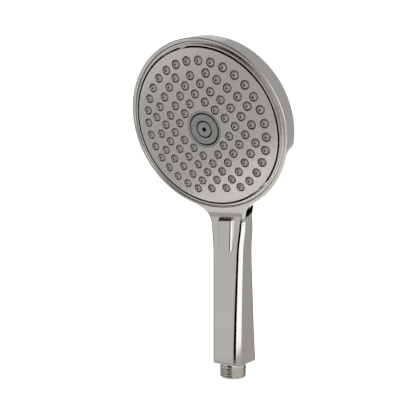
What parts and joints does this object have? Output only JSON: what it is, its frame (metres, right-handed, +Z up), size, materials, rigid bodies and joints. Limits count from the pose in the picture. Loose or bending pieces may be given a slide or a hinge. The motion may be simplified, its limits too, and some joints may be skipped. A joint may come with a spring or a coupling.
{
  "type": "handheld shower head",
  "caption": "Handheld shower head with a round tilted spray face, soft nozzles, a one-button spray selector on a tapered square handle and a threaded hose inlet.",
  "frame": {"origin": "centre of the open end of the hose inlet thread", "axes": "+Z up along the handle from the inlet, -Y the side the spray face looks to, +X to the object's left"},
  "size_m": [0.133, 0.0848, 0.2586],
  "materials": {
    "nickel_body": "satin nickel plating on moulded plastic",
    "nickel_bezel": "satin nickel plating on moulded plastic",
    "nickel_plate": "satin nickel plating",
    "nickel_button": "satin nickel plating on moulded plastic",
    "nickel_inlet": "nickel plated brass",
    "silicone_mat": "grey silicone",
    "silicone_collar": "grey soft plastic",
    "centre_disc": "grey moulded plastic",
    "centre_jet": "grey moulded plastic",
    "white_divider": "white moulded plastic",
    "white_housing": "white moulded plastic",
    "white_guide": "white moulded plastic",
    "white_tube": "white extruded plastic",
    "white_cage": "white moulded plastic",
    "dark_disc": "dark acetal",
    "dark_rod": "dark acetal",
    "dark_regulator": "dark acetal",
    "dark_poppet": "dark acetal",
    "black_seal": "black rubber",
    "black_housing_oring": "black rubber",
    "black_nipple_oring": "black rubber",
    "black_tube_oring": "black rubber",
    "black_tube_seal": "black rubber",
    "steel_screw_1": "bare stainless steel",
    "steel_screw_2": "bare stainless steel",
    "steel_screw_3": "bare stainless steel",
    "steel_screen": "bare stainless steel",
    "steel_valve_spring": "bare stainless steel",
    "steel_button_spring": "bare stainless steel",
    "steel_pin": "bare stainless steel"
  },
  "bodies": {
    "housing": {"body_shell": "nickel_body", "bezel_ring": "nickel_bezel", "spray_plate": "nickel_plate", "inlet_nipple": "nickel_inlet", "nozzle_mat": "silicone_mat", "centre_collar": "silicone_collar", "centre_disc": "centre_disc", "centre_jet": "centre_jet", "flow_divider": "white_divider", "waterway_housing": "white_housing", "rod_guide": "white_guide", "water_tube": "white_tube", "check_valve_cage": "white_cage", "flow_regulator": "dark_regulator", "mode_seal": "black_seal", "housing_oring": "black_housing_oring", "nipple_oring": "black_nipple_oring", "tube_oring": "black_tube_oring", "tube_end_seal": "black_tube_seal", "housing_screw_1": "steel_screw_1", "housing_screw_2": "steel_screw_2", "housing_screw_3": "steel_screw_3", "inlet_screen": "steel_screen", "check_valve_spring": "steel_valve_spring", "button_spring": "steel_button_spring", "button_pin": "steel_pin"},
    "button": {"mode_button": "nickel_button"},
    "selector": {"selector_rod": "dark_rod"},
    "ratchet": {"mode_disc": "dark_disc"},
    "poppet": {"check_valve_poppet": "dark_poppet"}
  },
  "joints": [
    {"name": "button_press", "type": "hinge", "parent": "housing", "child": "button", "pos_m": [0, -0.0054, 0.0976], "axis": [-1, 0, 0], "range_deg": [0, 3.8], "stiffness_Nm_per_rad": 0.3},
    {"name": "selector_slide", "type": "slide", "parent": "housing", "child": "selector", "axis": [0, -0.4274, 0.9041], "range_m": [0, 0.00355]},
    {"name": "ratchet_turn", "type": "hinge", "parent": "housing", "child": "ratchet", "pos_m": [0, -0.04072, 0.19262], "axis": [0, -0.9041, -0.4274], "range_deg": [0, 30.3]},
    {"name": "check_valve_lift", "type": "slide", "parent": "housing", "child": "poppet", "axis": [0, 0, 1], "range_m": [0, 0.002], "stiffness_N_per_m": 60, "deforming": ["check_valve_spring"]}
  ],
  "couplings": [
    {"joint": "selector_slide", "follows": "button_press", "m_per_rad": 0.052772},
    {"joint": "ratchet_turn", "follows": "button_press", "ratio": 7.8947}
  ]
}
